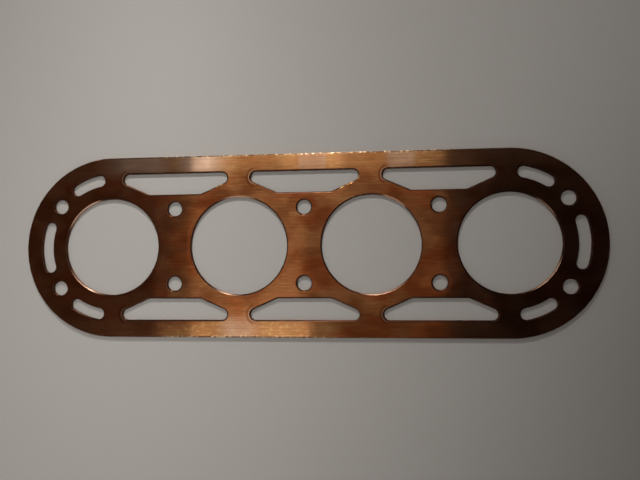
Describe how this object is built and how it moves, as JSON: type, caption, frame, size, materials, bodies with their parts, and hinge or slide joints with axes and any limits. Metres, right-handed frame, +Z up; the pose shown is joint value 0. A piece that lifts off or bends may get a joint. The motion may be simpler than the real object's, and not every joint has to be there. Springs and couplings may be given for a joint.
{
  "type": "cylinder head gasket",
  "caption": "Flat copper plate with round ends, pierced for a row of cylinder bores, the head studs and the coolant passages.",
  "frame": {"origin": "under the middle of the plate, on its lower face", "axes": "+X along the row of bores, +Y across the plate, +Z up out of the upper face"},
  "size_m": [0.368, 0.116, 0.002],
  "materials": {
    "copper": "rolled copper sheet, brushed along its length, dull brown tarnish towards the ends"
  },
  "bodies": {
    "root": {"gasket_plate": "copper"}
  },
  "joints": []
}
